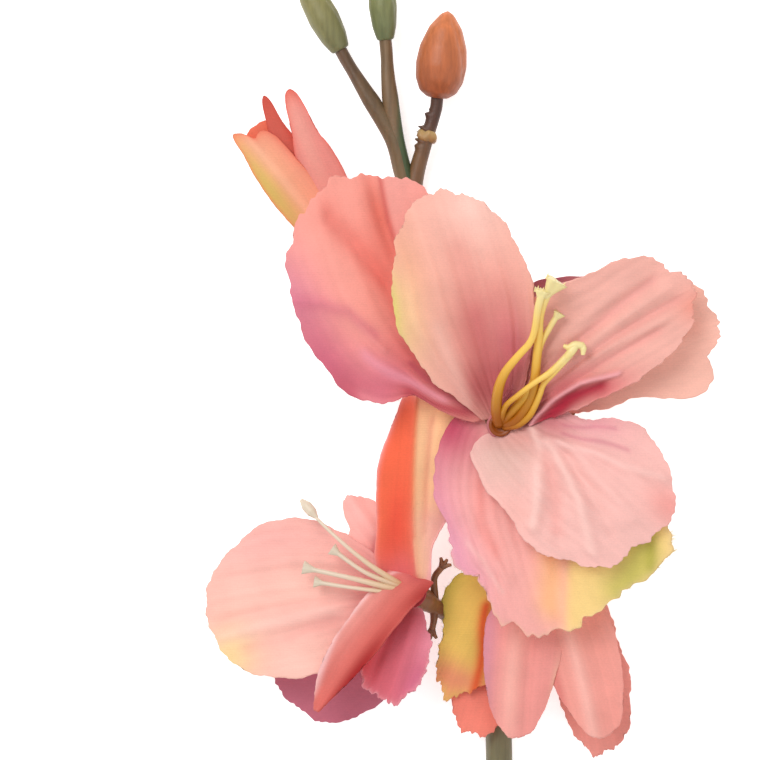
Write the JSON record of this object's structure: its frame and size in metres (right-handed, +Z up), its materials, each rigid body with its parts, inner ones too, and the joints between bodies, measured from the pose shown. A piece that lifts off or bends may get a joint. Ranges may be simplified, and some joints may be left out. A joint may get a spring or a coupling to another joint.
{
  "type": "cut gladiolus stem",
  "caption": "Long cut gladiolus stem of the silk kind, with open coral-pink blooms, a half-open bud, closed buds at the tip and sword-shaped leaves, lying with its blooms facing up.",
  "frame": {"origin": "on the table, on the flat underside of the stem, 10 mm from its cut end", "axes": "+Y along the stem from the cut end to the buds at the tip, +Z up out of the table, the way the blooms face, +X to the right seen from above with the tip away"},
  "size_m": [0.1306, 0.6228, 0.0562],
  "materials": {
    "brown_plastic": "moulded, dull",
    "green_plastic": "moulded, dull",
    "yellow_plastic": "moulded, soft sheen",
    "cream_plastic": "moulded, soft sheen",
    "amber_plastic": "moulded, soft sheen",
    "coral_fabric": "stiffened woven cloth, ribbed",
    "pink_fabric": "stiffened woven cloth, ribbed",
    "steel_wire": "drawn wire"
  },
  "bodies": {
    "root": {"stem": "brown_plastic", "stem_wire": "steel_wire", "main_calyx": "brown_plastic", "main_outer_petals": "coral_fabric", "main_inner_petals": "pink_fabric", "main_stamens": "yellow_plastic", "left_calyx": "brown_plastic", "left_outer_petals": "coral_fabric", "left_inner_petals": "coral_fabric", "left_stamens": "cream_plastic", "lower_right_calyx": "brown_plastic", "lower_right_outer_petals": "coral_fabric", "lower_right_inner_petals": "pink_fabric", "lower_right_stamens": "yellow_plastic", "half_open_bud_calyx": "brown_plastic", "half_open_bud_petals": "coral_fabric", "left_top_bud": "green_plastic", "middle_top_bud": "green_plastic", "right_top_bud": "amber_plastic", "lower_leaf": "green_plastic", "middle_leaf": "green_plastic", "upper_leaf": "green_plastic"}
  },
  "joints": []
}
